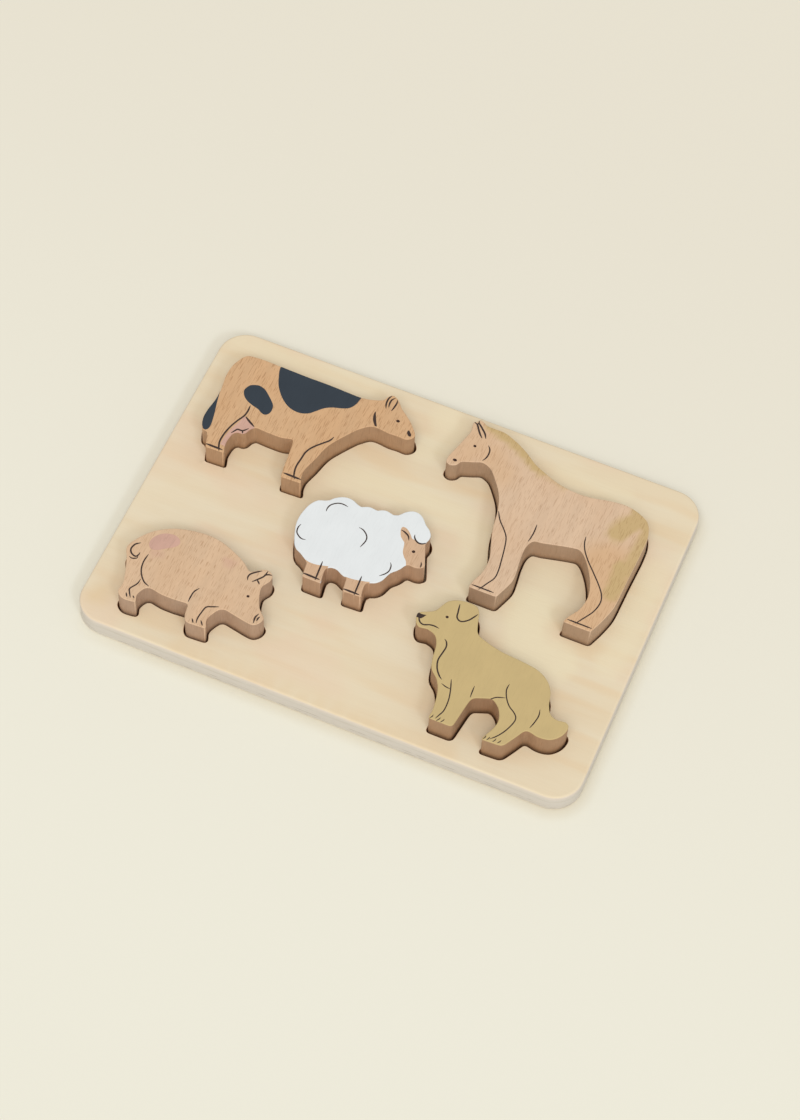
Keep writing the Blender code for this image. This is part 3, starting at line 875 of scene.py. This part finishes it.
def beech(name, marks):
    """Sanded beech sawn with its grain along Y, its sawn walls darker than its faces.

    "up" is 1 on a flat face and 0 on a wall. Two bounds on a noise choose how much of the wood
    it marks, and two numbers after them how strongly. The lower walls carry painted shade and
    the rounded edges a painted highlight.
    """
    colour, shift = marks["wood"], marks["shift"]
    graph = Graph(name, roughness=0.55)
    up = graph.maths("ABSOLUTE", graph.split(graph.place.outputs["Normal"], 2))
    flecks, pale, fibres = beech_grain(graph, shift)
    flecks = graph.maths("MULTIPLY", flecks, graph.between(up, 0.1, 0.6, 0.45, 1.0))
    bands = graph.noise((5.0, 90.0, 9.0), shift, 3.0)
    cloud = graph.noise((22.0, 40.0, 25.0), shift, 2.0)
    wood = graph.mix(graph.between(bands, 0.3, 0.7), linear(shaded(colour, 0.98)),
                     linear(shaded(colour, 1.015)))
    clouded = [channel + change for channel, change in zip(colour, CLOUD_CHANGE)]
    wood = graph.mix(graph.between(cloud, 0.35, 0.7, 0.0, 0.35), wood, linear(clouded))
    wood = graph.mix(graph.between(fibres, 0.42, 0.75, 0.0, 0.2), wood,
                     linear(shaded(colour, 0.92)))
    wood = graph.mix(graph.maths("MULTIPLY", pale, 0.3), wood, linear(shaded(colour, 1.05)))
    for wash, tint in WASH_COLOURS.items():
        share = graph.maths("MULTIPLY", graph.attribute(wash), graph.between(up, 0.3, 0.8))
        wood = graph.mix(share, wood, linear(tint))
    wood = graph.mix(graph.maths("MULTIPLY", flecks, marks["flecks"]), wood,
                     graph.tinted(wood, FLECK_TINT))
    height = graph.split(graph.place.outputs["Object"], 2)
    walls = graph.tinted(wood, marks["walls"])
    # Painted shade: the walls are made darker and browner near and below the board's top.
    full, gone = LOW_WALL_SHADE_HEIGHTS
    walls = graph.mix(graph.between(height, full * MM, gone * MM, LOW_WALL_SHADE_SHARE, 0.0), walls,
                      graph.tinted(walls, LOW_WALL_SHADE_TINT))
    wood = graph.mix(graph.between(up, 0.6, 0.1), wood, walls)
    # Painted highlight: the rounded edges are made lighter.
    edge = graph.maths("MULTIPLY", graph.between(up, 0.985, 0.85), graph.between(up, 0.1, 0.4))
    wood = graph.mix(graph.maths("MULTIPLY", edge, 0.25), wood, linear(shaded(colour, 1.05)))
    relief = graph.maths("SUBTRACT", fibres, graph.maths("MULTIPLY", flecks, FLECK_DEPTH))
    return graph.finish(wood, relief, WOOD_BUMP)


def paint(name, colour, fleck_share, shift, unevenness=0.02):
    """Thin matt paint that lets the wood's flecks show a little."""
    graph = Graph(name, roughness=0.65, specular=0.25)
    flecks, _, fibres = beech_grain(graph, shift)
    cloud = graph.noise((9.0, 16.0, 9.0), shift, 3.0)
    tone = graph.mix(graph.between(cloud, 0.3, 0.7), linear(shaded(colour, 1 - unevenness)),
                     linear(shaded(colour, 1 + unevenness)))
    tone = graph.mix(graph.maths("MULTIPLY", flecks, fleck_share), tone,
                     linear(shaded(colour, 0.8)))
    height = graph.maths("SUBTRACT", fibres, graph.maths("MULTIPLY", flecks, FLECK_DEPTH))
    return graph.finish(tone, height, PAINT_BUMP)


def plywood():
    """Pale sanded plywood: veneer grain along X on the faces, plies round the edge."""
    graph = Graph("birch_ply", roughness=0.6)
    broad = graph.noise((120.0, 14.0, 40.0), (3.0, 1.0, 0.0), 2.0)
    warm = graph.noise((70.0, 11.0, 40.0), (7.0, 4.5, 0.0), 1.0)
    peach = graph.noise((46.0, 30.0, 30.0), (2.0, 6.0, 0.0), 1.5)
    fibre = graph.noise((14.0, 0.7, 0.9), (0.0, 0.0, 0.0), 2.0)
    cloud = graph.noise((50.0, 34.0, 30.0), (0.0, 2.0, 0.0), 2.0)
    face = graph.mix(graph.between(broad, 0.3, 0.7), linear(VENEER), linear(VENEER_PALE))
    face = graph.mix(graph.between(warm, 0.5, 0.74, 0.0, 0.55), face, linear(VENEER_WARM))
    face = graph.mix(graph.between(peach, 0.48, 0.72, 0.0, 0.6), face, linear(VENEER_PEACH))
    face = graph.mix(graph.between(cloud, 0.4, 0.75, 0.0, 0.4), face, linear(VENEER_CLOUD))
    # Streaks of the veneer; the pale ones are partly painted light over the shade by the animals.
    for wash, tint in STREAK_AND_LIGHT_COLOURS.items():
        face = graph.mix(graph.attribute(wash), face, linear(tint))
    face = graph.mix(graph.between(fibre, 0.38, 0.75, 0.0, 0.07), face, linear(VENEER_FIBRE))
    height = graph.maths("DIVIDE", graph.split(graph.place.outputs["Object"], 2), MM)
    streak = graph.noise((14.0, 14.0, 0.5), (0.0, 0.0, 5.0), 3.0)
    edge = graph.mix(graph.between(height, *MIDDLE_PLY_HEIGHTS), linear(LOWEST_PLY),
                     linear(MIDDLE_PLY))
    edge = graph.mix(graph.between(height, *TOP_PLY_HEIGHTS), edge, linear(TOP_PLY))
    band = graph.maths("MULTIPLY", graph.between(height, *DARK_PLY_BOTTOM),
                       graph.between(height, *DARK_PLY_TOP))
    edge = graph.mix(graph.maths("MULTIPLY", band, graph.between(streak, 0.4, 0.6, 0.1, 0.5)),
                     edge, linear(DARK_PLY))
    edge = graph.mix(graph.between(streak, 0.4, 0.7, 0.0, 0.16), edge, linear(DARK_PLY))
    for level in GLUE_LINES:
        away = graph.maths("ABSOLUTE", graph.maths("SUBTRACT", height, level))
        broken = graph.noise((8.0, 8.0, 4.0), (level, 0.0, 2.0 * level), 1.0)
        glue = graph.maths("MULTIPLY", graph.between(away, *GLUE_REACHES),
                           graph.between(broken, 0.5, 0.64, 0.05, 0.55))
        edge = graph.mix(glue, edge, linear(GLUE))
    up = graph.maths("ABSOLUTE", graph.split(graph.place.outputs["Normal"], 2))
    face_share = graph.between(up, 0.45, 0.85)
    colour = graph.mix(face_share, edge, face)
    # Painted shade: flat faces low in the board, the windows' floors and the underside, are made
    # darker.
    pit_shade = graph.maths("MULTIPLY", face_share, graph.between(height, *PIT_SHADE_HEIGHTS))
    colour = graph.mix(pit_shade, colour, graph.tinted(colour, PIT_SHADE_TINT))
    # Cutter browning, which along the windows' rims on the top is also painted shade for the gaps.
    burnt = graph.mix(graph.between(streak, 0.3, 0.7), linear(BURNT_LIGHT), linear(BURNT_DARK))
    colour = graph.mix(graph.attribute("scorch_and_gap_shade"), colour, burnt)
    return graph.finish(colour, fibre, WOOD_BUMP)


def add_floor():
    """Add the plain pale floor."""
    mesh = bpy.data.meshes.new("floor")
    reach = FLOOR_REACH * MM
    mesh.from_pydata([(-reach, -reach, 0), (reach, -reach, 0), (reach, reach, 0),
                      (-reach, reach, 0)], [], [(0, 1, 2, 3)])
    graph = Graph("floor", roughness=0.9, specular=0.1)
    across, back = [graph.split(graph.place.outputs["Object"], axis) for axis in (0, 1)]
    turn_begins, turn_ends = FLOOR_TURN
    tone = graph.mix(graph.between(back, turn_begins * MM, turn_ends * MM),
                     linear(FLOOR_NEAR_COLOUR), linear(FLOOR_FAR_COLOUR))
    squares = []
    for place, side in zip((across, back), cad_bounds[1]):
        out = graph.maths("SUBTRACT", graph.maths("ABSOLUTE", place), side - CORNER_RADIUS * MM)
        out = graph.maths("MAXIMUM", out, 0.0)
        squares.append(graph.maths("MULTIPLY", out, out))
    away = graph.maths("SQRT", graph.maths("ADD", *squares))
    away = graph.maths("SUBTRACT", away, CORNER_RADIUS * MM)
    # Painted shade with a painted warm reflection: the floor is darker and warmer close to the
    # board's front and right sides.
    unlit, fully_lit = FLOOR_LIT_SIDES
    lit = graph.between(graph.maths("SUBTRACT", back, across), unlit * MM, fully_lit * MM)
    near = graph.maths("MULTIPLY", graph.between(away, FLOOR_PAINTED_SHADE_REACH * MM, 0.0), lit)
    tone = graph.mix(near, tone, linear(FLOOR_PAINTED_SHADE_COLOUR))
    mesh.materials.append(graph.finish(tone))
    floor = bpy.data.objects.new("floor", mesh)
    bpy.context.scene.collection.objects.link(floor)


def add_light():
    """Add the sky and the lamps."""
    world = bpy.data.worlds.new("sky")
    bpy.context.scene.world = world
    world.use_nodes = True
    sky = world.node_tree.nodes["Background"]
    sky.inputs["Color"].default_value = linear(SKY_COLOUR)
    sky.inputs["Strength"].default_value = SKY_STRENGTH
    for name, settings in LAMPS.items():
        lamp = bpy.data.lights.new(name, "SUN")
        lamp.energy = settings["strength"]
        lamp.color = linear(settings["colour"])[:3]
        lamp.angle = math.radians(settings["angle"])
        bearing, height = math.radians(settings["bearing"]), math.radians(settings["height"])
        place = Vector((math.sin(bearing) * math.cos(height),
                        -math.cos(bearing) * math.cos(height), math.sin(height)))
        thing = bpy.data.objects.new(name, lamp)
        thing.location = place
        thing.rotation_euler = place.to_track_quat("Z", "Y").to_euler()
        bpy.context.scene.collection.objects.link(thing)


def add_camera():
    """Add the camera where the photograph was taken from."""
    data = bpy.data.cameras.new("camera")
    data.sensor_width = CAMERA_SENSOR
    data.lens = CAMERA_LENS
    data.clip_start, data.clip_end = CAMERA_CLIP
    camera = bpy.data.objects.new("camera", data)
    place, target = Vector(CAMERA_PLACE) * MM, Vector(CAMERA_TARGET) * MM
    turn = (place - target).to_track_quat("Z", "Y").to_matrix().to_4x4()
    roll = Matrix.Rotation(math.radians(CAMERA_ROLL), 4, "Z")
    camera.matrix_world = Matrix.Translation(place) @ turn @ roll
    bpy.context.scene.collection.objects.link(camera)
    bpy.context.scene.camera = camera


PAINTS = {
    "slate_paint": paint("slate_paint", (51, 60, 70), 0.15, (1.0, 0.0, 0.0)),
    "white_paint": paint("white_paint", (229, 233, 236), 0.05, (2.0, 0.0, 0.0), 0.006),
    "pink_paint": paint("pink_paint", (206, 166, 150), 0.25, (3.0, 0.0, 0.0)),
    "tan_paint": paint("tan_paint", (200, 177, 127), 0.08, (4.0, 0.0, 0.0), 0.01),
    "line": paint("line_print", (64, 50, 45), 0.1, (5.0, 0.0, 0.0)),
    "eye": paint("eye_print", (58, 36, 30), 0.1, (6.0, 0.0, 0.0)),
}

add_camera()
add_light()
add_floor()
build_board()
for animal_name, animal_marks in ANIMALS.items():
    build_animal(animal_name, animal_marks)

bpy.context.scene.view_settings.view_transform = "Standard"
